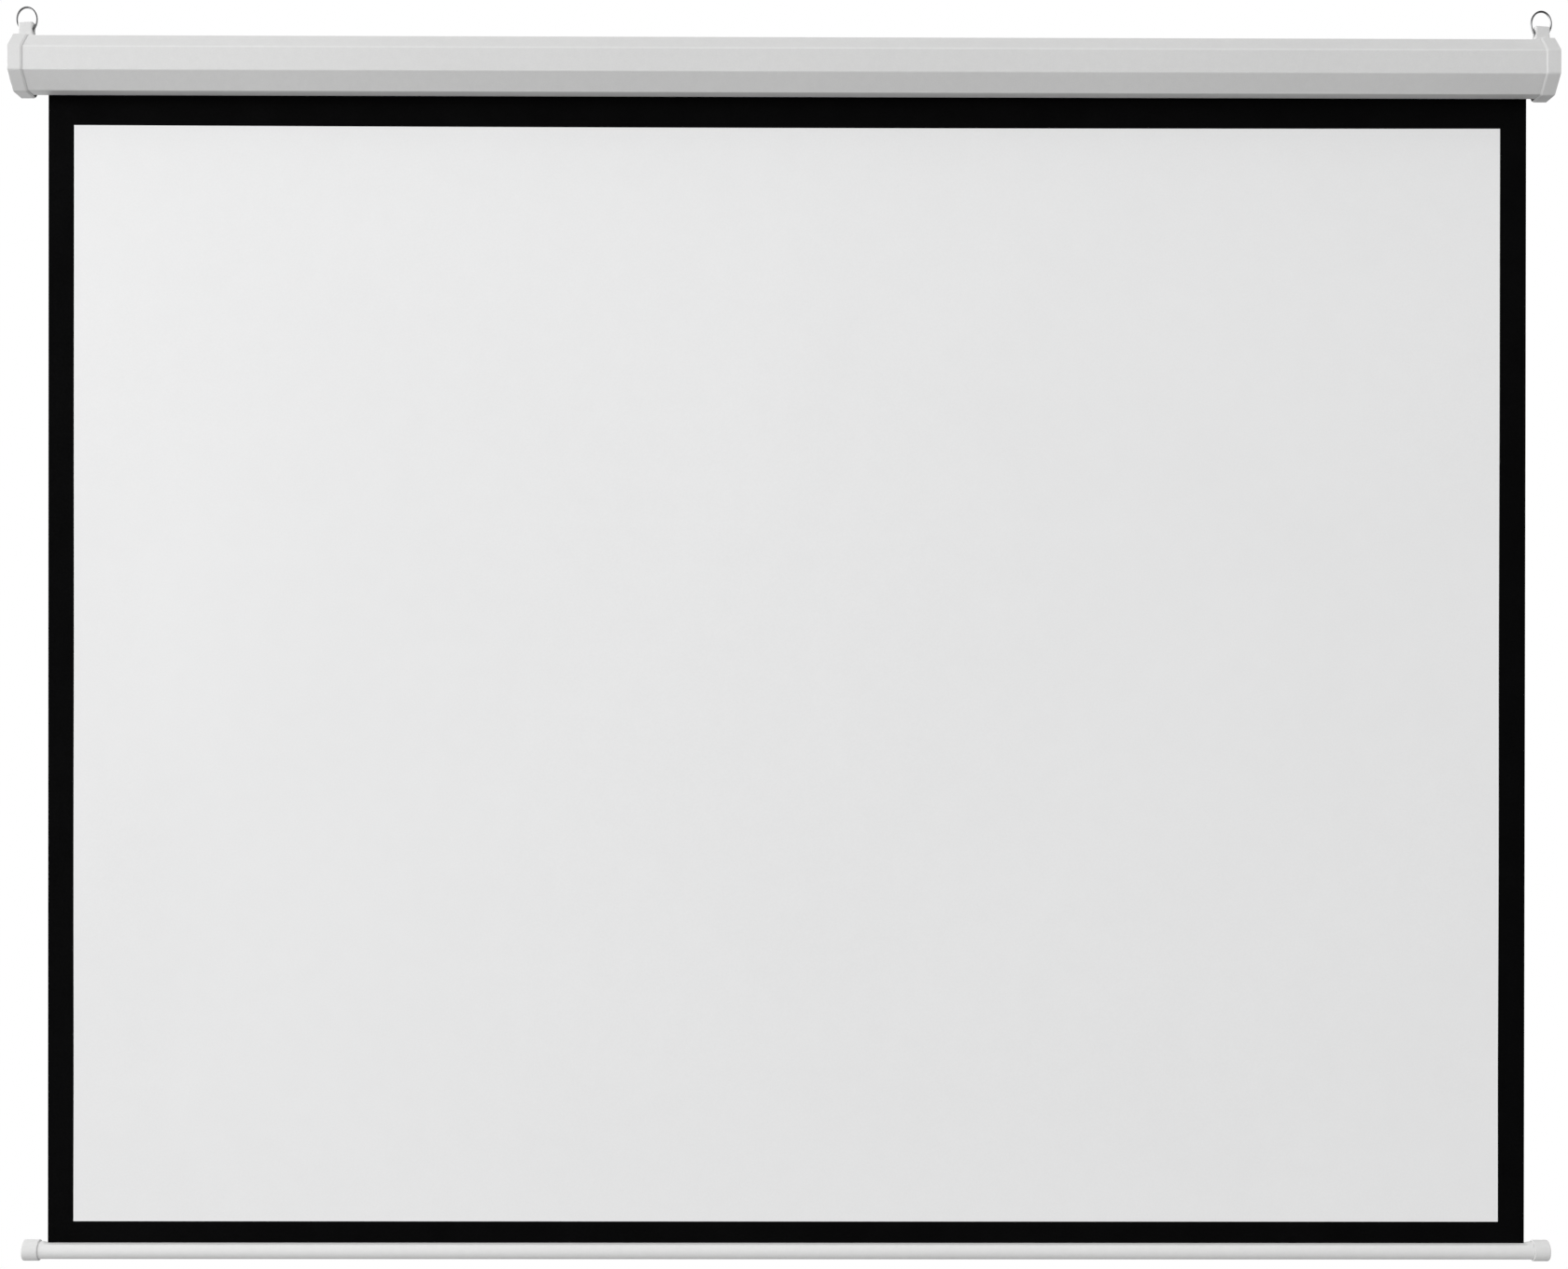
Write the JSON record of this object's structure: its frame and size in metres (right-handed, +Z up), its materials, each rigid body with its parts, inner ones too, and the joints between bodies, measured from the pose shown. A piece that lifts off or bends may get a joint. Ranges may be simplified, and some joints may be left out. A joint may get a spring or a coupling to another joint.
{
  "type": "motorized projector screen",
  "caption": "Motorized projector screen: octagonal case with end caps and hanging rings, motor driven roller, 4:3 white fabric with a black border and a round weight bar.",
  "frame": {"origin": "centre of the case's flat back face, on the wall plane", "axes": "+X along the case towards the idler end, +Y out of the case's back into the wall, +Z up; the viewer is on the -Y side"},
  "size_m": [2.1806, 0.0799, 1.7798],
  "materials": {
    "case_enamel": "white powder coat on roll-formed steel",
    "end_cap_plastic": "white moulded ABS",
    "bar_enamel": "white powder coat",
    "bar_cap_plastic": "white moulded plastic",
    "screen_white": "matt white PVC coated fabric, black back and printed black border",
    "screen_black": "matt black PVC coated fabric",
    "ring_chrome": "chromed steel wire",
    "zinc_plate": "zinc plated steel sheet",
    "fastener_steel": "zinc plated steel",
    "motor_steel": "galvanised steel tube",
    "roller_aluminium": "mill finish extrusion",
    "black_nylon": "moulded glass filled nylon",
    "natural_nylon": "natural nylon",
    "receiver_plastic": "grey moulded ABS",
    "circuit_board": "green solder mask",
    "lead_sheath": "black flexible sheath",
    "red_plastic": "red moulded plastic",
    "yellow_plastic": "yellow moulded plastic"
  },
  "bodies": {
    "case": {"case_housing": "case_enamel", "left_end_cap": "end_cap_plastic", "right_end_cap": "end_cap_plastic", "left_cap_screw": "fastener_steel", "right_cap_screw": "fastener_steel", "left_front_bracket_screw": "fastener_steel", "left_rear_bracket_screw": "fastener_steel", "right_front_bracket_screw": "fastener_steel", "right_rear_bracket_screw": "fastener_steel", "motor_bracket": "zinc_plate", "idler_bracket": "zinc_plate", "idler_bush": "natural_nylon", "motor_head": "black_nylon", "motor_tube": "motor_steel", "motor_retainer": "fastener_steel", "motor_lead": "lead_sheath", "cable_grommet": "black_nylon", "receiver_box": "receiver_plastic", "receiver_lid": "receiver_plastic", "receiver_board": "circuit_board", "receiver_screw": "fastener_steel", "screen_fabric": "screen_white"},
    "roller": {"roller_tube": "roller_aluminium", "motor_crown": "black_nylon", "drive_wheel": "black_nylon", "drive_wheel_screw": "fastener_steel", "drive_shaft": "fastener_steel", "drive_shaft_clip": "fastener_steel", "idler_plug": "black_nylon", "idler_pin": "fastener_steel", "idler_pin_clip": "fastener_steel", "wound_leader": "screen_black"},
    "bar": {"weight_bar": "bar_enamel", "left_bar_cap": "bar_cap_plastic", "right_bar_cap": "bar_cap_plastic", "hem_rod": "fastener_steel", "lower_border": "screen_black"},
    "left_ring": {"left_hanging_ring": "ring_chrome"},
    "right_ring": {"right_hanging_ring": "ring_chrome"},
    "limit_up": {"limit_screw_up": "red_plastic"},
    "limit_down": {"limit_screw_down": "yellow_plastic"}
  },
  "joints": [
    {"name": "roller_spin", "type": "hinge", "parent": "case", "child": "roller", "pos_m": [0, -0.04655, 0], "axis": [1, 0, 0], "range_deg": [0, 4040]},
    {"name": "bar_lift", "type": "slide", "parent": "case", "child": "bar", "axis": [0, 0, 1], "range_m": [0, 1.622], "deforming": ["screen_fabric"]},
    {"name": "left_ring_swing", "type": "hinge", "parent": "case", "child": "left_ring", "pos_m": [-1.0733, -0.039, 0.0512], "axis": [1, 0, 0], "range_deg": [-100, 100]},
    {"name": "right_ring_swing", "type": "hinge", "parent": "case", "child": "right_ring", "pos_m": [1.0733, -0.039, 0.0512], "axis": [1, 0, 0], "range_deg": [-100, 100]},
    {"name": "limit_up_turn", "type": "hinge", "parent": "case", "child": "limit_up", "pos_m": [-1.0646, -0.04655, 0], "axis": [0, 0.4819, -0.8762], "range_deg": [-1080, 1080]},
    {"name": "limit_down_turn", "type": "hinge", "parent": "case", "child": "limit_down", "pos_m": [-1.058, -0.04655, 0], "axis": [0, 0.4819, -0.8762], "range_deg": [-1080, 1080]}
  ],
  "couplings": [
    {"joint": "bar_lift", "follows": "roller_spin", "m_per_rad": 0.023}
  ]
}
